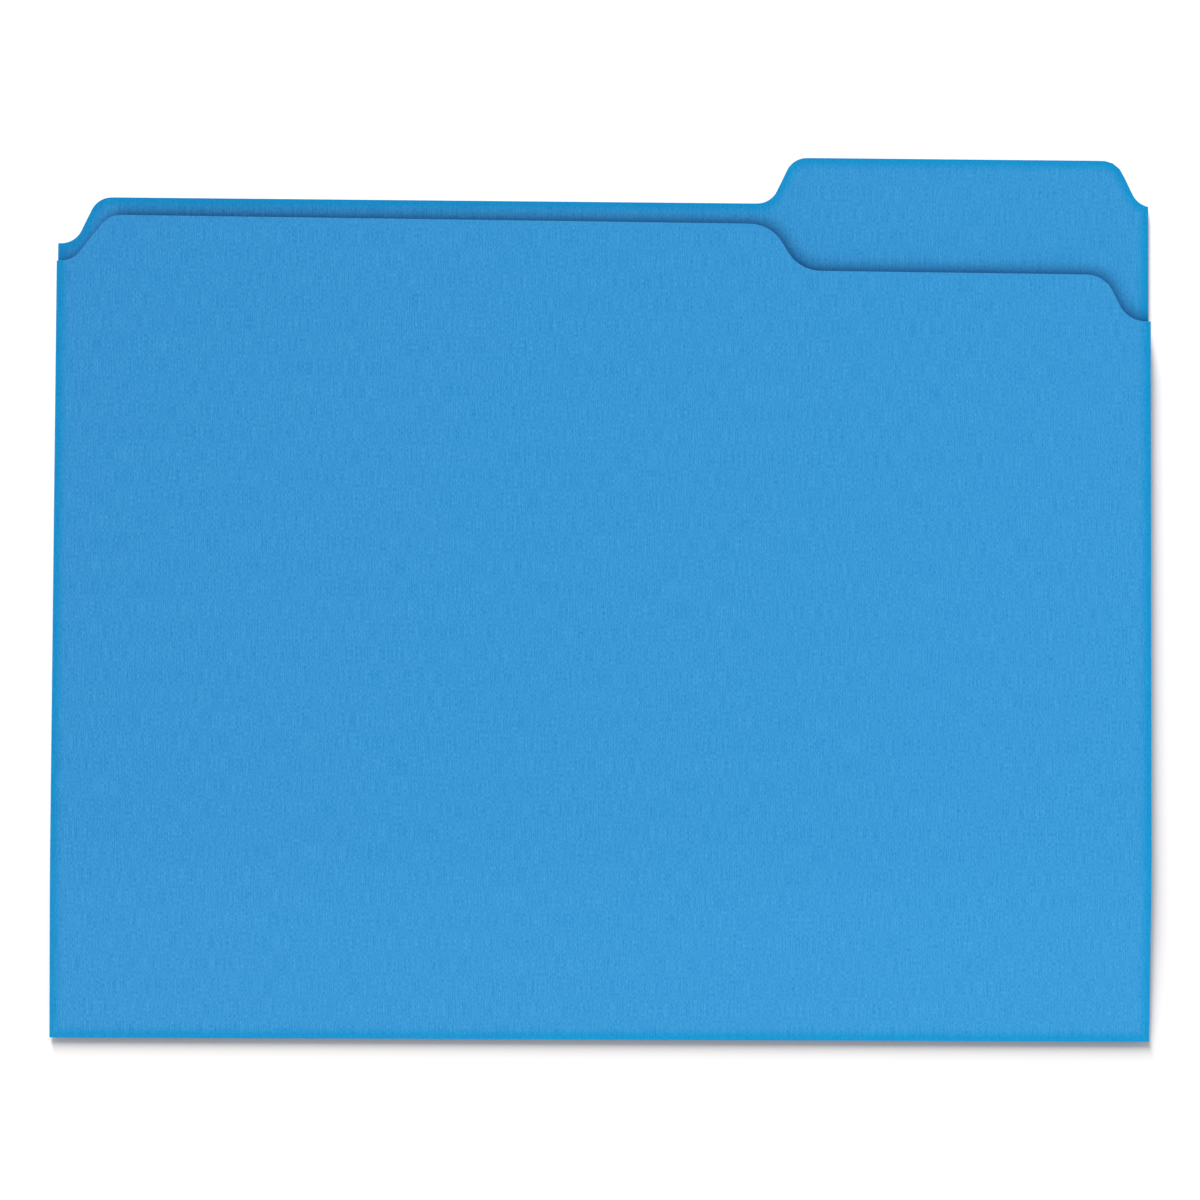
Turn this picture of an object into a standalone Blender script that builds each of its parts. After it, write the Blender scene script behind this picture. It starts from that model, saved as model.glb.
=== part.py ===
"""Letter-size file folder with a third-cut tab at the right.

The folder is one sheet of board, die-cut, scored and folded once. It lies closed on its back leaf, sprung
open a little: +X to the right, +Y towards the tab, +Z up. The origin is under the middle of the folder.
Its parts are the panels of the sheet and the creases that join them, each hung from the one before it, so
that turning a panel about its own X axis carries everything beyond it.
"""

import math

import bmesh
import bpy
import numpy as np
from mathutils import Matrix

# The sheet
SHEET_WIDTH = 0.29845
BOARD = 0.00028
BACK_HEIGHT = 0.2286
FRONT_HEIGHT = 0.2229
FRONT_SLANT = math.radians(0.26)

# The stepped top edges: every step is half an inch high
STEP_HEIGHT = 0.0127
BACK_STEP_ANGLE = math.radians(64.5)
BACK_STEP_RADIUS = 0.0061
FRONT_LEFT_ANGLE = math.radians(52)
FRONT_LEFT_RADIUS = 0.0065
UNDERCUT_ANGLE = math.radians(58)
UNDERCUT_RADIUS = 0.0105
FRONT_RIGHT_ANGLE = math.radians(63)
FRONT_RIGHT_RADIUS = 0.0080

# Middle of each step: two are set in from the left side, the others from the right side
BACK_LEFT_STEP = 0.00765
FRONT_LEFT_STEP = 0.00915
TAB_LEFT_STEP = 0.1008
TAB_RIGHT_STEP = 0.0057
UNDERCUT_STEP = 0.1002
FRONT_RIGHT_STEP = 0.0095

# The fold and the three scores above it
FOLD_INNER_RADIUS = 0.00025
FOLD_LEG = 0.0010
SCORE_PITCH = 0.00635
SCORE_WIDTH = 0.0010
SCORE_DEPTH = 0.00008
SEAM = 0.0001

# How the front half springs open: up along the gusset, over a crown, then slightly down to the mouth
SPRING_ANGLE = math.radians(6.5)
MOUTH_ANGLE = math.radians(0.3)
CROWN_START = 0.0115
CROWN_LENGTH = 0.027

# Fineness of the curves
ARC_STEPS = 6
FOLD_STEPS = 16
SCORE_STEPS = 8
LEAF_STRIP = 0.008

SHEET_COLOUR = (0.046, 0.319, 0.638, 1)
SHEET_ROUGHNESS = 0.62

FOLD_RADIUS = FOLD_INNER_RADIUS + BOARD
HALF_WIDTH = SHEET_WIDTH / 2
OVERALL_HEIGHT = BACK_HEIGHT + STEP_HEIGHT
FOLD_EDGE = -OVERALL_HEIGHT / 2
FOLD_AXIS = (0, FOLD_EDGE + FOLD_RADIUS, FOLD_RADIUS)
STRIPS = 3


def clear_scene():
    for old in list(bpy.data.objects):
        bpy.data.objects.remove(old, do_unlink=True)


def new_collection(name):
    made = bpy.data.collections.new(name)
    bpy.context.scene.collection.children.link(made)
    return made


def board_material(name):
    """Dyed board, matt on every face."""
    made = bpy.data.materials.new(name)
    made.use_nodes = True
    shader = made.node_tree.nodes["Principled BSDF"]
    shader.inputs["Base Color"].default_value = SHEET_COLOUR
    shader.inputs["Roughness"].default_value = SHEET_ROUGHNESS
    shader.inputs["Metallic"].default_value = 0
    made.diffuse_color = SHEET_COLOUR
    return made


def step_points(centre, level, rise, angle, radius):
    """Points of one S-shaped step, from left to right: an arc, a straight flank and an equal arc."""
    flank = (STEP_HEIGHT - 2 * radius * (1 - math.cos(angle))) / math.tan(angle)
    half = radius * math.sin(angle) + flank / 2
    turn = np.linspace(0, angle, ARC_STEPS + 1)
    along = radius * np.sin(turn) - half
    up = radius * (1 - np.cos(turn)) - STEP_HEIGHT / 2
    x = centre + np.concatenate([along, -along[::-1]])
    y = level + rise * (np.concatenate([up, -up[::-1]]) + STEP_HEIGHT / 2)
    return list(zip(x, y))


def stepped_outline(bottom, level, steps, slant=0):
    """Outline of a leaf: straight foot and sides, and a top edge that steps up (+1) or down (-1)."""
    top = []
    for centre, rise, angle, radius in steps:
        top += step_points(centre, level, rise, angle, radius)
        level += rise * STEP_HEIGHT
    x, y = np.array(top).T
    inside = np.abs(x) < HALF_WIDTH
    sides = np.array([-HALF_WIDTH, HALF_WIDTH])
    ends = np.interp(sides, x, y)
    x = np.concatenate([sides[:1], x[inside], sides[1:]])
    y = np.concatenate([ends[:1], y[inside], ends[1:]]) - x * math.tan(slant)
    return [(HALF_WIDTH, bottom), (-HALF_WIDTH, bottom), *zip(x, y)]


def extruded(name, outline, depth):
    """A mesh of the flat outline, depth thick along Z, centred on the outline's plane."""
    curve = bpy.data.curves.new(name, "CURVE")
    curve.dimensions = "2D"
    curve.fill_mode = "BOTH"
    curve.extrude = depth / 2
    spline = curve.splines.new("POLY")
    spline.points.add(len(outline) - 1)
    for point, (x, y) in zip(spline.points, outline):
        point.co = (x, y, 0, 1)
    spline.use_cyclic_u = True
    flat = bpy.data.objects.new(name + "_outline", curve)
    bpy.context.scene.collection.objects.link(flat)
    evaluated = flat.evaluated_get(bpy.context.evaluated_depsgraph_get())
    mesh = bpy.data.meshes.new_from_object(evaluated)
    mesh.name = name
    bpy.data.objects.remove(flat, do_unlink=True)
    bpy.data.curves.remove(curve)
    sheet = bmesh.new()
    sheet.from_mesh(mesh)
    bmesh.ops.remove_doubles(sheet, verts=sheet.verts, dist=SEAM / 100)
    bmesh.ops.recalc_face_normals(sheet, faces=sheet.faces)
    sheet.to_mesh(mesh)
    sheet.free()
    return mesh


def along_fold(name, profile):
    """A bar of the given section, as long as the sheet is wide. The section is drawn in Y and Z."""
    mesh = extruded(name, profile, SHEET_WIDTH)
    mesh.transform(Matrix(((0, 0, 1, 0), (1, 0, 0, 0), (0, 1, 0, 0), (0, 0, 0, 1))))
    return mesh


def hung(name, mesh, parent, place, tilt=0):
    """The mesh as a named part, whose origin lies on its hinge line in the parent's frame."""
    made = bpy.data.objects.new(name, mesh)
    folder.objects.link(made)
    made.parent = parent
    made.location = place
    made.rotation_euler.x = tilt
    mesh.materials.append(board_material(name))
    mesh.shade_smooth()
    mesh.set_sharp_from_angle(angle=math.radians(30))
    return made


def back_leaf():
    """The back panel and its tab, flat on the table, from the foot of the fold to the top of the tab."""
    steps = [
        (BACK_LEFT_STEP - HALF_WIDTH, 1, BACK_STEP_ANGLE, BACK_STEP_RADIUS),
        (HALF_WIDTH - TAB_LEFT_STEP, 1, BACK_STEP_ANGLE, BACK_STEP_RADIUS),
        (HALF_WIDTH - TAB_RIGHT_STEP, -1, BACK_STEP_ANGLE, BACK_STEP_RADIUS),
    ]
    foot = FOLD_LEG + SEAM
    level = BACK_HEIGHT - FOLD_RADIUS - STEP_HEIGHT
    mesh = extruded("back_leaf", stepped_outline(foot, level, steps), BOARD)
    mesh.transform(Matrix.Translation((0, 0, BOARD / 2 - FOLD_RADIUS)))
    return hung("back_leaf", mesh, None, FOLD_AXIS)


def main_fold(back):
    """The rounded crease that joins the leaves: a leg along the back leaf, the bend, a leg up the gusset."""
    turn = np.linspace(1.5 * math.pi, 0.5 * math.pi + SPRING_ANGLE, FOLD_STEPS + 1)
    ring = np.column_stack([np.cos(turn), np.sin(turn)])
    leg = FOLD_LEG * np.array([math.cos(SPRING_ANGLE), math.sin(SPRING_ANGLE)])
    foot = np.array([FOLD_LEG, 0])
    outer, inner = FOLD_RADIUS * ring, FOLD_INNER_RADIUS * ring
    outer = [outer[0] + foot, *outer, outer[-1] + leg]
    inner = [inner[0] + foot, *inner, inner[-1] + leg]
    return hung("main_fold", along_fold("main_fold", outer + inner[::-1]), back, (0, 0, 0))


def gusset_strip(number, parent, place, start, end, face, tilt):
    """One flat strip of the gusset, from start to end along the sheet, with its inner face at this height."""
    section = [(start, face), (end, face), (end, face + BOARD), (start, face + BOARD)]
    name = f"gusset_strip_{number}"
    return hung(name, along_fold(name, section), parent, place, tilt)


def score_crease(number, strip, line, face):
    """A pressed score: a shallow groove in the outer face and the bead that it raises on the inner face."""
    across = np.linspace(-SCORE_WIDTH / 2, SCORE_WIDTH / 2, SCORE_STEPS + 1)
    sunk = face - SCORE_DEPTH * (1 + np.cos(2 * math.pi * across / SCORE_WIDTH)) / 2
    inner = list(zip(across, sunk))
    outer = list(zip(across, sunk + BOARD))
    name = f"score_crease_{number}"
    mesh = along_fold(name, inner + outer[::-1])
    return hung(name, mesh, strip, (0, line, 0))


def crowned(along, off):
    """Where a point lies, given along the sheet and off its inner face, once the leaf springs open."""
    fine = np.linspace(0, FRONT_HEIGHT, 2001)
    share = np.clip((fine - CROWN_START) / CROWN_LENGTH, 0, 1)
    slope = -(SPRING_ANGLE + MOUTH_ANGLE) * share * share * (3 - 2 * share)
    step = fine[1] - fine[0]
    reach = np.cumsum(np.cos(slope)) * step
    climb = np.cumsum(np.sin(slope)) * step
    turned = np.interp(along, fine, slope)
    y = np.interp(along, fine, reach - reach[0]) - off * np.sin(turned)
    z = np.interp(along, fine, climb - climb[0]) + off * np.cos(turned)
    return y, z


def front_leaf(strip, last_score):
    """The front panel: shorter than the back, cut away below the tab, and bowed over its crown."""
    steps = [
        (FRONT_LEFT_STEP - HALF_WIDTH, 1, FRONT_LEFT_ANGLE, FRONT_LEFT_RADIUS),
        (HALF_WIDTH - UNDERCUT_STEP, -1, UNDERCUT_ANGLE, UNDERCUT_RADIUS),
        (HALF_WIDTH - FRONT_RIGHT_STEP, -1, FRONT_RIGHT_ANGLE, FRONT_RIGHT_RADIUS),
    ]
    foot = SCORE_WIDTH / 2 + SEAM
    level = FRONT_HEIGHT - STRIPS * SCORE_PITCH - STEP_HEIGHT
    mesh = extruded("front_leaf", stepped_outline(foot, level, steps, FRONT_SLANT), BOARD)
    leaf = bmesh.new()
    leaf.from_mesh(mesh)
    for line in np.arange(foot + LEAF_STRIP, level + STEP_HEIGHT, LEAF_STRIP):
        everything = leaf.verts[:] + leaf.edges[:] + leaf.faces[:]
        bmesh.ops.bisect_plane(leaf, geom=everything, plane_co=(0, line, 0), plane_no=(0, 1, 0))
    for corner in leaf.verts:
        corner.co.y, corner.co.z = crowned(corner.co.y, corner.co.z + BOARD / 2)
    bmesh.ops.recalc_face_normals(leaf, faces=leaf.faces)
    leaf.to_mesh(mesh)
    leaf.free()
    return hung("front_leaf", mesh, strip, (0, last_score, 0))


def gusset(fold):
    """The three strips and their scores, each strip hung on the inner face of the score below it."""
    carrier, place, tilt = fold, (0, 0, 0), SPRING_ANGLE
    start, line, face = FOLD_LEG + SEAM, SCORE_PITCH - FOLD_RADIUS, FOLD_INNER_RADIUS
    half_score = SCORE_WIDTH / 2 + SEAM
    for number in range(1, STRIPS + 1):
        carrier = gusset_strip(number, carrier, place, start, line - half_score, face, tilt)
        score_crease(number, carrier, line, face)
        place, tilt = (0, line, face), 0
        start, line, face = half_score, SCORE_PITCH, 0
    return carrier, place[1]


clear_scene()
folder = new_collection("file_folder")
back = back_leaf()
last_strip, last_score = gusset(main_fold(back))
front_leaf(last_strip, last_score)
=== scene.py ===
"""The sheet is worked out as one curved surface, from the tab of the back leaf, round the fold and over the
scored gusset to the mouth of the front leaf. It is then cut at both sides of the fold into three pieces,
so that the front half can open.
"""

import math

import bpy
import numpy as np
from bpy.props import FloatProperty, FloatVectorProperty, PointerProperty
from mathutils import Matrix, Vector


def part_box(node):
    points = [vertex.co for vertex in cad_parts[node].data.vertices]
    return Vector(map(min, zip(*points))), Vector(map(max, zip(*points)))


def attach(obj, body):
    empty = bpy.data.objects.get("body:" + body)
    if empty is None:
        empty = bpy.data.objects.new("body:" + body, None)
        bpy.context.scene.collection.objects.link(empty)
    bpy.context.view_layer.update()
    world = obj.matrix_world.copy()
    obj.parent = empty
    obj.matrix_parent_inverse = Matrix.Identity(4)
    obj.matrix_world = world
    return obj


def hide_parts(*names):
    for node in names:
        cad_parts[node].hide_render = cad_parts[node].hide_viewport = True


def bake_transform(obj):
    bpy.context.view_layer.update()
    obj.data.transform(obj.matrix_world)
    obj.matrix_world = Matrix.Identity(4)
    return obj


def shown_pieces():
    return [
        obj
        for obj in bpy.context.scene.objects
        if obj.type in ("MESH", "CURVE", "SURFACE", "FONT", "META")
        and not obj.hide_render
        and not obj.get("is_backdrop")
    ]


bl_info = {
    "name": "File folder",
    "version": (1, 0, 0),
    "blender": (4, 5, 0),
    "location": "View3D > Sidebar > Folder",
    "description": "Builds a folded board file folder, its finish and a plain studio around it",
    "category": "Object",
}

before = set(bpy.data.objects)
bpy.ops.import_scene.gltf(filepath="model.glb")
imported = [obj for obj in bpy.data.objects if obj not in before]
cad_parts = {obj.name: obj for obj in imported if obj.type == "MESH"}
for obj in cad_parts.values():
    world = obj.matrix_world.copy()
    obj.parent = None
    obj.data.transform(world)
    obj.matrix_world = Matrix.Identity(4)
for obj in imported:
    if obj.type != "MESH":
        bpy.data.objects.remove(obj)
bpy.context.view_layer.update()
BACK_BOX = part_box("back_leaf")
FOLD_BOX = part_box("main_fold")

PHOTO_WIDTH = 1200
SENSOR_WIDTH = 36
SCORES = 3

# The grid of each piece: its columns and rows, and how far and how much they crowd at edges and scores
COLUMNS = 190
BACK_ROWS = 110
LEG_ROWS = 5
FOLD_ROWS = 41
GUSSET_ROWS = 90
FRONT_ROWS = 130
SIDE_CROWD = (0.005, 5)
TOP_CROWD = (0.03, 6)
SCORE_CROWD = (0.0008, 8)
CROWD_STEPS = 4000
EDGE_POINTS = 600
PATH_STEP = 0.00002

# The rounded rim: rings between its two faces, and the power of its section's curve
RIM_STEPS = 8
RIM_POWER = 0.5
SHARP_ANGLE = math.radians(60)

# What the finish reads: the flat sheet as a UV map, with the inner face moved aside, and two attributes, the
# distance from the margins for the painted edge shade and the cut edge for the painted highlight
SHEET_UV = "sheet"
INNER_FACE_SHIFT = 0.5
MARGIN = "margin"
CUT = "cut"
# Share of the painted highlight on the faces along the front leaf's top edge
TOP_HIGHLIGHT = 0.35

# The finish: how the fibre tints, lightens and roughens the dye, how the painted light tints the board
# towards the right, how strong the painted highlight on the cut edge is, and where the painted edge shade
# along the margins is full
GRAIN_TINT = (3.0, 1.0, 0.60)
# Tint of the painted light that lightens the board towards the right
PAINTED_LIGHT_TINT = (0.8, 1.0, 0.8)
# Strength of the painted highlight on the cut edge
CUT_HIGHLIGHT_SHARE = 0.8
GRAIN_ROUGHNESS = 0.12
FLECK_RELIEF = 0.5
# Where the painted edge shade is full, and how much it wavers with the clouds
FULL_EDGE_SHADE = 0.0005
EDGE_SHADE_WAVER = 0.0006
CLOUD_DETAIL = 3.0

# A Mix node's sockets for its share and two colours, and for its resulting colour
MIX_COLOURS = (0, 6, 7)
MIXED_COLOUR = 2


class SheetSizes(bpy.types.PropertyGroup):
    """Real sizes of the folded sheet."""

    width: FloatProperty(
        name="Width", description="Length of the fold", unit="LENGTH",
        default=BACK_BOX[1][0] - BACK_BOX[0][0])
    board: FloatProperty(
        name="Board", description="Thickness of the board", unit="LENGTH",
        default=BACK_BOX[1][2] - BACK_BOX[0][2])
    fold_y: FloatProperty(
        name="Fold", description="Y of the outermost line of the fold", unit="LENGTH",
        default=FOLD_BOX[0][1])
    fold_radius: FloatProperty(
        name="Fold radius", description="Radius of the outer face of the fold", unit="LENGTH",
        default=0.00053)
    fold_leg: FloatProperty(
        name="Fold leg", description="How far the fold's piece reaches into each leaf", unit="LENGTH",
        default=0.0010)
    back_height: FloatProperty(
        name="Back height", description="From the fold to the back leaf's long top edge", unit="LENGTH",
        default=0.2286)
    front_height: FloatProperty(
        name="Front height", description="From the fold to the front leaf's long top edge", unit="LENGTH",
        default=0.2229)
    front_slant: FloatProperty(
        name="Front slant", description="Fall of the front leaf's top edge to the right", unit="ROTATION",
        default=math.radians(0.26))
    step_height: FloatProperty(
        name="Step", description="Height of each step of the top edges", unit="LENGTH",
        default=0.0127)
    back_step_angle: FloatProperty(
        name="Back step angle", description="Slope of the flank of the back leaf's steps", unit="ROTATION",
        default=math.radians(64.5))
    back_step_radius: FloatProperty(
        name="Back step radius", description="Radius of the back leaf's step curves", unit="LENGTH",
        default=0.0061)
    front_left_angle: FloatProperty(
        name="Front left angle", description="Slope of the flank of the front leaf's left step",
        unit="ROTATION", default=math.radians(52))
    front_left_radius: FloatProperty(
        name="Front left radius", description="Radius of the front leaf's left step", unit="LENGTH",
        default=0.0065)
    undercut_angle: FloatProperty(
        name="Undercut angle", description="Slope of the flank of the undercut's step", unit="ROTATION",
        default=math.radians(58))
    undercut_radius: FloatProperty(
        name="Undercut radius", description="Radius of the undercut's step", unit="LENGTH",
        default=0.0105)
    front_right_angle: FloatProperty(
        name="Front right angle", description="Slope of the flank of the front leaf's right step",
        unit="ROTATION", default=math.radians(63))
    front_right_radius: FloatProperty(
        name="Front right radius", description="Radius of the front leaf's right step", unit="LENGTH",
        default=0.0080)
    back_left_step: FloatProperty(
        name="Back left step", description="From the left side to the middle of the step", unit="LENGTH",
        default=0.00765)
    front_left_step: FloatProperty(
        name="Front left step", description="From the left side to the middle of the step", unit="LENGTH",
        default=0.00915)
    tab_left_step: FloatProperty(
        name="Tab left step", description="From the right side to the middle of the tab's left step",
        unit="LENGTH", default=0.1008)
    tab_right_step: FloatProperty(
        name="Tab right step", description="From the right side to the middle of the tab's right step",
        unit="LENGTH", default=0.0057)
    undercut_step: FloatProperty(
        name="Undercut step", description="From the right side to the middle of the undercut's step",
        unit="LENGTH", default=0.1002)
    front_right_step: FloatProperty(
        name="Front right step", description="From the right side to the middle of the step", unit="LENGTH",
        default=0.0095)
    score_pitch: FloatProperty(
        name="Score pitch", description="From the fold to the first score and on to the next", unit="LENGTH",
        default=0.00635)
    score_width: FloatProperty(
        name="Score width", description="Width of the pressed groove", unit="LENGTH", default=0.0010)
    score_depth: FloatProperty(
        name="Score depth", description="How deep the board is pressed", unit="LENGTH", default=0.000018)
    spring: FloatProperty(
        name="Spring", description="Slope of the gusset at rest", unit="ROTATION",
        default=math.radians(6.5))
    droop: FloatProperty(
        name="Droop", description="Downward slope of the front leaf at its mouth", unit="ROTATION",
        default=math.radians(0.3))
    crown_start: FloatProperty(
        name="Crown start", description="From the last score to where the leaf starts to bow",
        unit="LENGTH", default=0.0115)
    crown_length: FloatProperty(
        name="Crown length", description="Length over which the leaf bows", unit="LENGTH", default=0.027)
    edge_round: FloatProperty(
        name="Edge round", description="How far the cut edge is rounded over", unit="LENGTH",
        default=0.00006)


class BoardFinish(bpy.types.PropertyGroup):
    """Colours and fibre of the dyed board, with painted shade along its margins, a painted highlight on its
    cut edge and painted light towards the right.
    """

    dye: FloatVectorProperty(
        name="Dye", description="Colour of the board", subtype="COLOR", size=3,
        default=(0.0377, 0.2936, 0.720))
    # Painted shade: a darker, deeper blue band along the sides and the fold
    edge_shade_colour: FloatVectorProperty(
        name="Margin dye", description="Deeper colour along the sides and the fold", subtype="COLOR",
        size=3, default=(0.001, 0.274, 0.675))
    # Painted highlight: a lighter colour on the cut edge
    core: FloatVectorProperty(
        name="Core", description="Lighter colour of the cut edge", subtype="COLOR", size=3,
        default=(0.083, 0.352, 0.755))
    # How far the painted edge shade reaches in
    edge_shade_width: FloatProperty(
        name="Margin width", description="How far the deeper colour reaches in", unit="LENGTH",
        default=0.0036)
    fibre_width: FloatProperty(
        name="Fibre width", description="Width of the fibre streaks", unit="LENGTH", default=0.00027)
    fibre_length: FloatProperty(
        name="Fibre length", description="Length of the fibre streaks", unit="LENGTH", default=0.0009)
    laid_length: FloatProperty(
        name="Laid length", description="Length of the faint lines up the sheet", unit="LENGTH",
        default=0.006)
    mottle_size: FloatProperty(
        name="Mottle", description="Size of the soft clouds in the dye", unit="LENGTH", default=0.006)
    streak_tone: FloatProperty(
        name="Streak tone", description="How much the streaks lighten and darken the dye", default=0.66)
    laid_tone: FloatProperty(
        name="Laid tone", description="How much the faint lines lighten and darken the dye", default=0.30)
    fleck_tone: FloatProperty(
        name="Fleck tone", description="How much single fibres lighten and darken the dye", default=0.19)
    cloud_tone: FloatProperty(
        name="Cloud tone", description="How much the soft clouds lighten and darken the dye", default=0.05)
    # Painted light: how much lighter the board gets towards the right, per metre
    fade: FloatProperty(
        name="Fade", description="How much lighter the dye gets towards the right, per metre", default=0.50)
    roughness: FloatProperty(
        name="Roughness", description="Roughness of the uncoated board", subtype="FACTOR", default=0.62)
    gloss: FloatProperty(
        name="Gloss", description="Strength of the board's dull gloss", subtype="FACTOR", default=0.15)
    relief: FloatProperty(
        name="Relief", description="How much the fibre stands out", subtype="FACTOR", default=0.25)
    relief_height: FloatProperty(
        name="Relief height", description="Height of the fibre", unit="LENGTH", default=0.00002)


class StudioSizes(bpy.types.PropertyGroup):
    """Camera, floor and soft light."""

    distance: FloatProperty(
        name="Distance", description="From the camera to the middle of the folder", unit="LENGTH",
        default=1.4)
    focal_pixels: FloatProperty(
        name="Focal length", description="Focal length in pixels of the square picture", default=5134.3)
    pitch: FloatProperty(
        name="Pitch", description="Turn of the folder about X, seen by the camera", unit="ROTATION",
        default=math.radians(-3.1071))
    yaw: FloatProperty(
        name="Yaw", description="Turn of the folder about Y, seen by the camera", unit="ROTATION",
        default=math.radians(1.9096))
    roll: FloatProperty(
        name="Roll", description="Turn of the folder about Z, seen by the camera", unit="ROTATION",
        default=math.radians(-0.3983))
    across: FloatProperty(
        name="Across", description="Folder's middle to the right of the view's middle", unit="LENGTH",
        default=0.00091)
    up: FloatProperty(
        name="Up", description="Folder's middle above the view's middle", unit="LENGTH", default=0.00115)
    floor_size: FloatProperty(
        name="Floor", description="Length of the square floor's side", unit="LENGTH", default=8.0)
    floor_tint: FloatVectorProperty(
        name="Floor tint", description="Colour of the floor, a little warm against the folder's blue glow",
        subtype="COLOR", size=3, default=(1.0, 0.972, 0.955))
    floor_fade: FloatVectorProperty(
        name="Floor fade", description="From where to where the floor runs into the background",
        unit="LENGTH", size=2, default=(0.3, 0.9))
    floor_gap: FloatProperty(
        name="Floor gap", description="Gap between the folder and the floor", unit="LENGTH",
        default=0.0020)
    sky: FloatProperty(
        name="Sky", description="Strength of the even light from all round", default=0.44)
    key: FloatProperty(
        name="Key", description="Light that the soft box gives on the folder", default=0.62)
    key_tint: FloatVectorProperty(
        name="Key tint", description="Colour of the soft box", subtype="COLOR", size=3,
        default=(0.90, 1.12, 0.89))
    key_size: FloatVectorProperty(
        name="Key size", description="Width and height of the soft box", unit="LENGTH", size=2,
        default=(2.0, 2.0))
    key_place: FloatVectorProperty(
        name="Key place", description="Where the soft box hangs", subtype="XYZ", unit="LENGTH", size=3,
        default=(-0.6, -0.95, 2.4))
    back_light: FloatProperty(
        name="Back light", description="Light that the box behind the folder gives on the floor",
        default=0.84)
    back_light_size: FloatVectorProperty(
        name="Back light size", description="Width and height of the box behind the folder",
        unit="LENGTH", size=2, default=(0.6, 2.2))
    back_light_place: FloatVectorProperty(
        name="Back light place", description="Where the box behind the folder stands", subtype="XYZ",
        unit="LENGTH", size=3, default=(-0.47, 1.8, 1.74))


class Wire:
    """A value or colour on its way through a shader. Its operators add Math nodes."""

    def __init__(self, socket):
        self.socket = socket

    def maths(self, operation, first, second):
        made = self.socket.id_data.nodes.new("ShaderNodeMath")
        made.operation = operation
        join(made.inputs[0], first)
        join(made.inputs[1], second)
        return Wire(made.outputs[0])

    def __add__(self, other):
        return self.maths("ADD", self, other)

    def __radd__(self, other):
        return self.maths("ADD", other, self)

    def __sub__(self, other):
        return self.maths("SUBTRACT", self, other)

    def __rsub__(self, other):
        return self.maths("SUBTRACT", other, self)

    def __mul__(self, other):
        return self.maths("MULTIPLY", self, other)

    def __rmul__(self, other):
        return self.maths("MULTIPLY", other, self)


def join(place, value):
    """Links a wire to a socket, or sets the socket to a plain value."""
    if isinstance(value, Wire):
        place.id_data.links.new(value.socket, place)
    else:
        place.default_value = value


class Nodes:
    """The node tree of a material or of the world."""

    def __init__(self, owner):
        owner.use_nodes = True
        self.owner = owner
        self.nodes = owner.node_tree.nodes

    def node(self, kind, settings=None, inputs=None, output=0):
        """Adds a node, with its settings first and then the values or wires of its sockets."""
        made = self.nodes.new(kind)
        for key, value in (settings or {}).items():
            setattr(made, key, value)
        for key, value in (inputs or {}).items():
            join(made.inputs[key], value)
        return Wire(made.outputs[output])

    def mixed(self, share, first, second, blend="MIX"):
        """Mixes two colours by a share."""
        settings = {"data_type": "RGBA", "blend_type": blend}
        sockets = dict(zip(MIX_COLOURS, (share, first, second)))
        return self.node("ShaderNodeMix", settings, sockets, MIXED_COLOUR)

    def vector(self, operation, first, second):
        return self.node("ShaderNodeVectorMath", {"operation": operation}, {0: first, 1: second})

    def combined(self, value):
        """A grey of the value."""
        return self.node("ShaderNodeCombineXYZ", None, {"X": value, "Y": value, "Z": value})

    def ramped(self, value, low, high):
        """0 where the value is low, 1 where it is high, and an S between."""
        sockets = {"Value": value, "From Min": low, "From Max": high}
        return self.node("ShaderNodeMapRange", {"interpolation_type": "SMOOTHSTEP"}, sockets)

    def object_place(self):
        return self.node("ShaderNodeTexCoord", output="Object")

    def seen(self):
        """1 for what the camera sees, straight or in gloss or glass, and 0 for light."""
        kinds = ("Is Camera Ray", "Is Glossy Ray", "Is Transmission Ray")
        straight, gloss, glass = (self.node("ShaderNodeLightPath", output=kind) for kind in kinds)
        return straight + gloss + glass

    def noise(self, place, scale, detail=0.0):
        """Noise about 0, from about -0.5 to 0.5."""
        sockets = {"Vector": place, "Scale": scale, "Detail": detail}
        return self.node("ShaderNodeTexNoise", None, sockets) - 0.5


def opaque(colour):
    return (*colour, 1)


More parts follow.
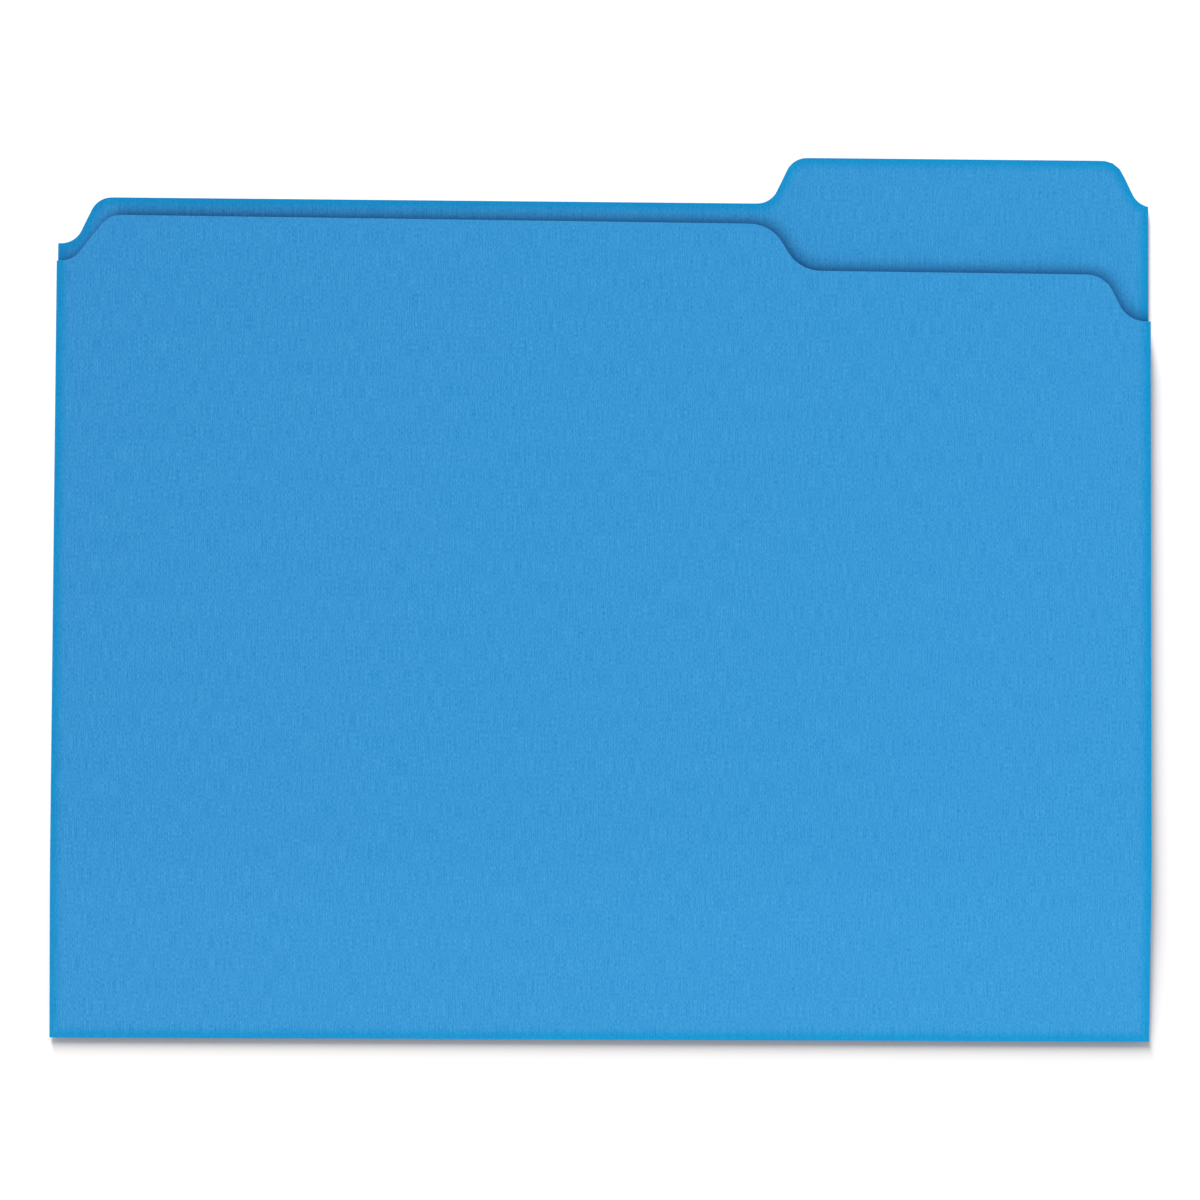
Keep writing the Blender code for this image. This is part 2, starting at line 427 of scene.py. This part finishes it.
def dyed_board(finish):
    """Matt dyed board: fine streaks of fibre up the sheet, soft clouds, painted shade as a deeper colour
    along the margins, a painted highlight on the cut edge, and painted light that lightens it towards the
    right.
    """
    made = Nodes(bpy.data.materials.new("dyed_board"))
    shader = made.nodes["Principled BSDF"]
    place = made.node("ShaderNodeUVMap", {"uv_map": SHEET_UV})
    spot = made.vector("MULTIPLY", place, (1 / finish.fibre_width, 1 / finish.fibre_width, 1))
    streak = made.vector("MULTIPLY", place, (1 / finish.fibre_width, 1 / finish.fibre_length, 1))
    laid = made.vector("MULTIPLY", place, (1 / finish.fibre_width, 1 / finish.laid_length, 1))
    streaks = made.noise(streak, 1.0, 1.0)
    lines = made.noise(laid, 1.0)
    flecks = made.noise(spot, 1.0)
    clouds = made.noise(place, 1 / finish.mottle_size, CLOUD_DETAIL)
    margin = made.node("ShaderNodeAttribute", {"attribute_name": MARGIN}, output="Fac")
    cut = made.node("ShaderNodeAttribute", {"attribute_name": CUT}, output="Fac")
    # Painted edge shade: the darker, deeper colour along the sides and the fold, wavering with the clouds
    inside = made.ramped(margin + clouds * EDGE_SHADE_WAVER, FULL_EDGE_SHADE, finish.edge_shade_width)
    colour = made.mixed(inside, opaque(finish.edge_shade_colour), opaque(finish.dye))
    # Painted highlight: the lighter colour on the cut edge
    colour = made.mixed(cut * CUT_HIGHLIGHT_SHARE, colour, opaque(finish.core))
    across = made.node("ShaderNodeSeparateXYZ", None, {"Vector": made.object_place()})
    grain = streaks * finish.streak_tone + lines * finish.laid_tone
    grain = grain + flecks * finish.fleck_tone + clouds * finish.cloud_tone
    grains = made.vector("MULTIPLY", made.combined(grain), GRAIN_TINT)
    # Painted light: the colour lightens towards the right
    painted_light = made.vector("MULTIPLY", made.combined(across * finish.fade), PAINTED_LIGHT_TINT)
    tone = made.vector("ADD", made.vector("ADD", grains, painted_light), (1, 1, 1))
    join(shader.inputs["Base Color"], made.mixed(1.0, colour, tone, "MULTIPLY"))
    join(shader.inputs["Roughness"], finish.roughness + streaks * GRAIN_ROUGHNESS)
    shader.inputs["Specular IOR Level"].default_value = finish.gloss
    height = streaks + flecks * FLECK_RELIEF + clouds
    relief = {"Strength": finish.relief, "Distance": finish.relief_height, "Height": height}
    join(shader.inputs["Normal"], made.node("ShaderNodeBump", None, relief))
    return made.owner


def white_floor(studio):
    """A white floor that keeps the folder's shadow, and runs into the white background further out."""
    made = Nodes(bpy.data.materials.new("white_floor"))
    shader = made.nodes["Principled BSDF"]
    shader.inputs["Base Color"].default_value = opaque(studio.floor_tint)
    shader.inputs["Roughness"].default_value = 1
    shader.inputs["Specular IOR Level"].default_value = 0
    away = made.node("ShaderNodeVectorMath", {"operation": "LENGTH"}, {0: made.object_place()}, "Value")
    white = made.node("ShaderNodeEmission", None, {"Color": (1, 1, 1, 1), "Strength": 1.0})
    far = made.ramped(away, *studio.floor_fade) * made.seen()
    shown = made.node("ShaderNodeMixShader", None, {0: far, 1: Wire(shader.outputs[0]), 2: white})
    join(made.nodes["Material Output"].inputs["Surface"], shown)
    return made.owner


def smoothstep(value):
    """0 below 0, 1 above 1, and an S between: three times the square less twice the cube."""
    share = np.clip(value, 0, 1)
    return share * share * (3 - 2 * share)


def step_rise(x, centre, height, angle, radius):
    """Height of an S-shaped step at x: an arc off the lower level, a straight flank, an arc onto the upper.

    An arc rises by the radius less the root of the radius squared less x squared, and the flank rises by
    the tangent of its angle. The upper half is the lower half turned about the step's middle."""
    reach = radius * math.sin(angle)
    flank = (height - 2 * radius * (1 - math.cos(angle))) / math.tan(angle)
    half = reach + flank / 2
    off = np.clip(half - np.abs(x - centre), 0, half)
    arc = radius - np.sqrt(radius * radius - np.minimum(off, reach) ** 2)
    low = arc + np.maximum(off - reach, 0) * math.tan(angle)
    return np.where(x < centre, low, height - low)


def back_top(x, sizes):
    """Length of the back leaf at x, measured from the line where the fold starts to bend."""
    half, shape = sizes.width / 2, (sizes.step_height, sizes.back_step_angle, sizes.back_step_radius)
    top = sizes.back_height - sizes.fold_radius - sizes.step_height
    top = top + step_rise(x, sizes.back_left_step - half, *shape)
    top = top + step_rise(x, half - sizes.tab_left_step, *shape)
    return top - step_rise(x, half - sizes.tab_right_step, *shape)


def front_top(x, sizes):
    """Length of the front half at x, measured from the line where the fold has bent: three steps, and a
    straight fall to the right by the tangent of the slant."""
    half, height = sizes.width / 2, sizes.step_height
    left, cut, right = sizes.front_left_step - half, half - sizes.undercut_step, half - sizes.front_right_step
    top = sizes.front_height - sizes.fold_radius - height - x * math.tan(sizes.front_slant)
    top = top + step_rise(x, left, height, sizes.front_left_angle, sizes.front_left_radius)
    top = top - step_rise(x, cut, height, sizes.undercut_angle, sizes.undercut_radius)
    return top - step_rise(x, right, height, sizes.front_right_angle, sizes.front_right_radius)


def bend_length(sizes):
    """Length of the bend: the middle of the board's thickness, round half a turn less the spring."""
    return (sizes.fold_radius - sizes.board / 2) * (math.pi - sizes.spring)


def score_lines(sizes):
    """Distances of the three scores along the sheet, from where the fold starts to bend."""
    return bend_length(sizes) - sizes.fold_radius + sizes.score_pitch * np.arange(1, SCORES + 1)


def sheet_path(along, sizes):
    """Y, Z and direction of the middle of the board at a distance along the sheet.

    The direction is half a turn on the back leaf, falls evenly to the spring angle round the fold, holds it
    over the gusset, and falls by a smoothstep to the droop over the crown. The place is the running sum of
    its cosine and sine, less its value where the fold starts to bend, which lies under the fold's axis."""
    bend = bend_length(sizes)
    crown = score_lines(sizes)[-1] + sizes.crown_start
    fine = np.arange(min(along.min(), 0) - PATH_STEP, max(along.max(), 0) + 2 * PATH_STEP, PATH_STEP)
    turn = math.pi - (math.pi - sizes.spring) * np.clip(fine / bend, 0, 1)
    turn = turn - (sizes.spring + sizes.droop) * smoothstep((fine - crown) / sizes.crown_length)
    middle = (turn[1:] + turn[:-1]) / 2
    y = np.concatenate([[0], np.cumsum(np.cos(middle))]) * PATH_STEP
    z = np.concatenate([[0], np.cumsum(np.sin(middle))]) * PATH_STEP
    y = y - np.interp(0, fine, y) + sizes.fold_y + sizes.fold_radius
    z = z - np.interp(0, fine, z) + sizes.board / 2
    return np.interp(along, fine, y), np.interp(along, fine, z), np.interp(along, fine, turn)


def tightened(low, high, count, centres, crowd):
    """Places from low to high that crowd together round the centres.

    Their density is 1 plus the gain times a bell round each centre, and its running sum is cut evenly."""
    reach, gain = crowd
    fine = np.linspace(low, high, CROWD_STEPS)
    bells = np.exp(-((fine[:, None] - np.asarray(centres)[None, :]) / reach) ** 2)
    total = np.cumsum(1 + gain * bells.sum(1))
    return np.interp(np.linspace(total[0], total[-1], count), total, fine)


def slope_of(top, x, sizes):
    """Slope of a top edge at x: the difference over a short stretch."""
    return (top(x + PATH_STEP, sizes) - top(x - PATH_STEP, sizes)) / (2 * PATH_STEP)


def columns(sizes, steps):
    """X of the grid's columns: crowded at the sides and over the steps."""
    half = sizes.width / 2 - sizes.edge_round
    return tightened(-half, half, COLUMNS, [-half, half, *steps], SIDE_CROWD)


def distance_to(x, along, line_x, line_along):
    """Distance of each grid point from a line of points, over the flat sheet."""
    off_x = x[..., None] - line_x
    off_along = along[..., None] - line_along
    return np.sqrt((off_x ** 2 + off_along ** 2).min(-1))


def fold_margin(x, along, sizes):
    """Distance of each grid point from the nearer side of the sheet or from the fold's outermost line."""
    y = sheet_path(along, sizes)[0]
    return np.minimum(sizes.width / 2 - np.abs(x), y - sizes.board / 2 - sizes.fold_y)


def rim_loop(rows, cols):
    """Row and column of the grid's outermost points, once round, counter-clockwise from outside."""
    across, up = np.arange(cols - 1), np.arange(rows - 1)
    row = np.concatenate([0 * across, up, 0 * across + rows - 1, rows - 1 - up])
    col = np.concatenate([across, 0 * up + cols - 1, cols - 1 - across, 0 * up])
    return row, col


def pressed_in(along, sizes):
    """How far the scores move the board inwards: the depth times half of one plus a cosine over each."""
    off = (along[..., None] - score_lines(sizes)) / sizes.score_width
    return np.where(np.abs(off) < 0.5, (1 + np.cos(2 * math.pi * off)) / 2, 0).sum(-1) * sizes.score_depth


def outward_from(x, open_ends, top, sizes):
    """Direction out of the sheet at the free edges of its grid, across and along, and 0 inside."""
    outward = np.zeros(x.shape + (2,))
    outward[:, 0, 0] -= 1
    outward[:, -1, 0] += 1
    for row, sign, free in ((0, -1, open_ends[0]), (-1, 1, open_ends[1])):
        if free:
            rise = slope_of(top, x[row], sizes)
            outward[row] += np.stack([-rise, sign + 0 * rise], -1) / np.sqrt(1 + rise ** 2)[:, None]
    return outward / np.maximum(np.linalg.norm(outward, axis=-1, keepdims=True), 1)


def sheet_faces(shape, row, col):
    """Faces of the outer face, of the walls between the rim's rings and of the inner face."""
    count = shape[0] * shape[1]
    grid = np.arange(count).reshape(shape)
    outer = np.stack([grid[:-1, :-1], grid[:-1, 1:], grid[1:, 1:], grid[1:, :-1]], -1).reshape(-1, 4)
    inner_start = count + len(row) * (RIM_STEPS - 1)
    rings = np.arange(count, inner_start).reshape(-1, len(row))
    rings = np.concatenate([grid[row, col][None], rings, grid[row, col][None] + inner_start])
    beyond = np.roll(rings, -1, 1)
    walls = np.stack([rings[:-1], rings[1:], beyond[1:], beyond[:-1]], -1).reshape(-1, 4)
    return outer, walls, outer[:, ::-1] + inner_start


def sheet_piece(name, x, along, margin, open_ends, top, sizes):
    """A closed piece of the sheet over a grid of x and distance along the sheet.

    Both faces lie half the board's thickness from its middle, which the scores press in. Round the rim, the
    section is a superellipse: outwards by the root of the cosine and across by the root of the sine. A rim
    that meets the next piece stays flat."""
    y, z, turn = sheet_path(along, sizes)
    normal = np.stack([0 * turn, -np.sin(turn), np.cos(turn)], -1)
    forward = np.stack([0 * turn, np.cos(turn), np.sin(turn)], -1)
    middle = np.stack([x, y, z], -1) - normal * pressed_in(along, sizes)[..., None]
    row, col = rim_loop(*x.shape)
    rim_out = outward_from(x, open_ends, top, sizes)[row, col]
    out = rim_out[:, :1] * np.array([1, 0, 0]) + rim_out[:, 1:] * forward[row, col]
    sweep = np.linspace(math.pi / 2, -math.pi / 2, RIM_STEPS + 1)[1:-1, None, None]
    bulge = np.abs(np.cos(sweep)) ** RIM_POWER * sizes.edge_round
    across = np.sign(np.sin(sweep)) * np.abs(np.sin(sweep)) ** RIM_POWER * sizes.board / 2
    rim = middle[row, col] + out * bulge + normal[row, col] * across
    face = normal * sizes.board / 2
    points = np.concatenate([part.reshape(-1, 3) for part in (middle + face, rim, middle - face)])
    outer, walls, inner = sheet_faces(x.shape, row, col)
    faces = np.concatenate([outer, walls, inner])

    mesh = bpy.data.meshes.new(name)
    mesh.from_pydata(points.tolist(), [], faces.tolist())
    flat = np.stack([x, along], -1)
    depth = np.arange(1, RIM_STEPS) / RIM_STEPS * sizes.board
    rim_flat = flat[row, col] + rim_out * depth[:, None, None]
    places = np.concatenate([part.reshape(-1, 2) for part in (flat, rim_flat, flat)])
    shift = np.zeros((len(faces), 1, 2))
    shift[-len(inner):, :, 0] = INNER_FACE_SHIFT
    layer = mesh.uv_layers.new(name=SHEET_UV)
    layer.data.foreach_set("uv", (places[faces] + shift).astype(np.float32).ravel())
    # The cut attribute carries the painted highlight: full round the rim, weaker on both faces along a free
    # far edge
    rim_highlight = np.linalg.norm(rim_out, axis=-1) + np.zeros((RIM_STEPS - 1, 1))
    top_highlight = np.zeros(x.shape)
    top_highlight[-1] = TOP_HIGHLIGHT * open_ends[1]
    for key, values in (
        (MARGIN, [margin.ravel(), np.tile(margin[row, col], RIM_STEPS - 1), margin.ravel()]),
        (CUT, [top_highlight.ravel(), rim_highlight.ravel(), top_highlight.ravel()]),
    ):
        attribute = mesh.attributes.new(key, "FLOAT", "POINT")
        attribute.data.foreach_set("value", np.concatenate(values).astype(np.float32))
    mesh.shade_smooth()
    mesh.set_sharp_from_angle(angle=SHARP_ANGLE)
    mesh.materials.append(board_material())
    made = bpy.data.objects.new(name, mesh)
    bpy.context.scene.collection.objects.link(made)
    return made


def board_material():
    return bpy.data.materials.get("dyed_board") or dyed_board(bpy.context.scene.board_finish)


class FOLDER_OT_back_leaf(bpy.types.Operator):
    """The back leaf with its tab, flat on the table."""

    bl_idname = "folder.back_leaf"
    bl_label = "Back leaf"

    def execute(self, context):
        sizes = context.scene.sheet_sizes
        half = sizes.width / 2
        x = columns(sizes, [sizes.back_left_step - half, half - sizes.tab_left_step])
        share = tightened(0, 1, BACK_ROWS, [0, 1], TOP_CROWD)
        inset = sizes.edge_round * np.sqrt(1 + slope_of(back_top, x, sizes) ** 2)
        leaf_length = back_top(x, sizes) - inset - sizes.fold_leg
        along = -sizes.fold_leg - (1 - share)[:, None] * leaf_length[None, :]
        x_grid = np.broadcast_to(x, along.shape)
        line = np.linspace(-half, half, EDGE_POINTS)
        margin = distance_to(x_grid, along, line, -back_top(line, sizes))
        margin = np.minimum(margin, fold_margin(x_grid, along, sizes))
        leaf = sheet_piece("back_leaf_board", x_grid, along, margin, (True, False), back_top, sizes)
        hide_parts("back_leaf")
        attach(leaf, "back_leaf")
        return {"FINISHED"}


class FOLDER_OT_fold(bpy.types.Operator):
    """The rounded fold that joins both halves, in its resting shape."""

    bl_idname = "folder.fold"
    bl_label = "Fold"

    def execute(self, context):
        sizes = context.scene.sheet_sizes
        x = columns(sizes, [])
        bend, leg = bend_length(sizes), np.linspace(0, sizes.fold_leg, LEG_ROWS)
        rows = np.concatenate([leg[:-1] - sizes.fold_leg, np.linspace(0, bend, FOLD_ROWS), bend + leg[1:]])
        along = rows[:, None] + 0 * x[None, :]
        x_grid = np.broadcast_to(x, along.shape)
        margin = fold_margin(x_grid, along, sizes)
        fold = sheet_piece("fold_board", x_grid, along, margin, (False, False), None, sizes)
        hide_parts("main_fold")
        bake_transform(fold)
        return {"FINISHED"}


class FOLDER_OT_front_half(bpy.types.Operator):
    """The scored gusset and the front leaf, sprung open over a crown and cut away below the tab."""

    bl_idname = "folder.front_half"
    bl_label = "Front half"

    def execute(self, context):
        sizes = context.scene.sheet_sizes
        half = sizes.width / 2
        bend, held = bend_length(sizes), score_lines(sizes)[-1] + sizes.score_width
        steps = [sizes.front_left_step - half, half - sizes.undercut_step, half - sizes.front_right_step]
        x = columns(sizes, steps)
        top = front_top(x, sizes) - sizes.edge_round * np.sqrt(1 + slope_of(front_top, x, sizes) ** 2)
        low = tightened(bend + sizes.fold_leg, bend + held, GUSSET_ROWS, score_lines(sizes), SCORE_CROWD)
        high = tightened(0, 1, FRONT_ROWS, [1], TOP_CROWD)
        above = bend + held + high[1:, None] * (top - held)[None, :]
        along = np.concatenate([low[:, None] + 0 * x[None, :], above])
        x_grid = np.broadcast_to(x, along.shape)
        margin = fold_margin(x_grid, along, sizes)
        leaf = sheet_piece("front_half_board", x_grid, along, margin, (False, True), front_top, sizes)
        strips = [f"gusset_strip_{number}" for number in range(1, SCORES + 1)]
        creases = [f"score_crease_{number}" for number in range(1, SCORES + 1)]
        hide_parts("front_leaf", *strips, *creases)
        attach(leaf, "front_half")
        return {"FINISHED"}


def white_world(studio):
    """Even light from all round, and a plain white background."""
    world = bpy.data.worlds.new("white_world")
    bpy.context.scene.world = world
    made = Nodes(world)
    light = made.node("ShaderNodeBackground", None, {"Color": (1, 1, 1, 1), "Strength": studio.sky})
    white = made.node("ShaderNodeBackground", None, {"Color": (1, 1, 1, 1), "Strength": 1.0})
    shown = made.node("ShaderNodeMixShader", None, {0: made.seen(), 1: light, 2: white})
    join(made.nodes["World Output"].inputs["Surface"], shown)


class FOLDER_OT_stage(bpy.types.Operator):
    """The white floor, the soft light and the camera."""

    bl_idname = "folder.stage"
    bl_label = "Stage"

    def execute(self, context):
        studio = context.scene.studio_sizes
        half = studio.floor_size / 2
        corners = [(-half, -half), (half, -half), (half, half), (-half, half)]
        mesh = bpy.data.meshes.new("floor")
        mesh.from_pydata([(x, y, -studio.floor_gap) for x, y in corners], [], [(0, 1, 2, 3)])
        mesh.materials.append(white_floor(studio))
        floor = bpy.data.objects.new("floor", mesh)
        context.scene.collection.objects.link(floor)
        floor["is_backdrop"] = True
        white_world(studio)
        key = (studio.key_place, studio.key_size, studio.key, studio.key_tint)
        self.soft_box(context, "soft_box", *key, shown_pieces())
        back = (studio.back_light_place, studio.back_light_size, studio.back_light, (1, 1, 1))
        self.soft_box(context, "back_light", *back, [floor])
        self.camera(context, studio)
        context.scene.view_settings.view_transform = "Standard"
        return {"FINISHED"}

    def soft_box(self, context, name, place, size, strength, tint, lit):
        """A soft box aimed at the folder, which lights the given objects alone.

        A small box's light on the floor is its power times its height, over pi squared and the cube of its
        distance. The power is worked out from the strength that way."""
        place = Vector(place)
        lamp = bpy.data.lights.new(name, "AREA")
        lamp.shape = "RECTANGLE"
        lamp.size, lamp.size_y = size
        lamp.color = tint
        lamp.energy = strength * math.pi ** 2 * place.length ** 3 / place.z
        hung = bpy.data.objects.new(name, lamp)
        hung.location = place
        hung.rotation_euler = place.to_track_quat("Z", "Y").to_euler()
        context.scene.collection.objects.link(hung)
        receivers = bpy.data.collections.new(f"lit_by_{name}")
        for receiver in lit:
            receivers.objects.link(receiver)
        hung.light_linking.receiver_collection = receivers

    def camera(self, context, studio):
        """A long lens almost straight above the folder."""
        seen = bpy.data.cameras.new("camera")
        seen.sensor_width = SENSOR_WIDTH
        seen.lens = studio.focal_pixels * SENSOR_WIDTH / PHOTO_WIDTH
        turned = Matrix.Rotation(studio.roll, 4, "Z")
        turned = turned @ Matrix.Rotation(studio.yaw, 4, "Y") @ Matrix.Rotation(studio.pitch, 4, "X")
        moved = Matrix.Translation((studio.across, studio.up, -studio.distance))
        camera = bpy.data.objects.new("camera", seen)
        camera.matrix_world = (moved @ turned).inverted()
        context.scene.collection.objects.link(camera)
        context.scene.camera = camera


OPERATORS = (FOLDER_OT_back_leaf, FOLDER_OT_fold, FOLDER_OT_front_half, FOLDER_OT_stage)


class FOLDER_PT_parts(bpy.types.Panel):
    """Lists the folder's pieces and the stage."""

    bl_label = "File folder"
    bl_idname = "FOLDER_PT_parts"
    bl_space_type = "VIEW_3D"
    bl_region_type = "UI"
    bl_category = "Folder"

    def draw(self, context):
        for operator in OPERATORS:
            self.layout.operator(operator.bl_idname)
        for group in (context.scene.sheet_sizes, context.scene.board_finish, context.scene.studio_sizes):
            box = self.layout.box()
            for name in group.__annotations__:
                box.prop(group, name)


GROUPS = {"sheet_sizes": SheetSizes, "board_finish": BoardFinish, "studio_sizes": StudioSizes}


def register():
    for made in (*GROUPS.values(), *OPERATORS, FOLDER_PT_parts):
        bpy.utils.register_class(made)
    for name, group in GROUPS.items():
        setattr(bpy.types.Scene, name, PointerProperty(type=group))


def unregister():
    for name in GROUPS:
        delattr(bpy.types.Scene, name)
    for made in (FOLDER_PT_parts, *OPERATORS, *GROUPS.values()):
        bpy.utils.unregister_class(made)


def main():
    register()
    bpy.ops.folder.back_leaf()
    bpy.ops.folder.fold()
    bpy.ops.folder.front_half()
    bpy.ops.folder.stage()


if __name__ == "__main__":
    main()
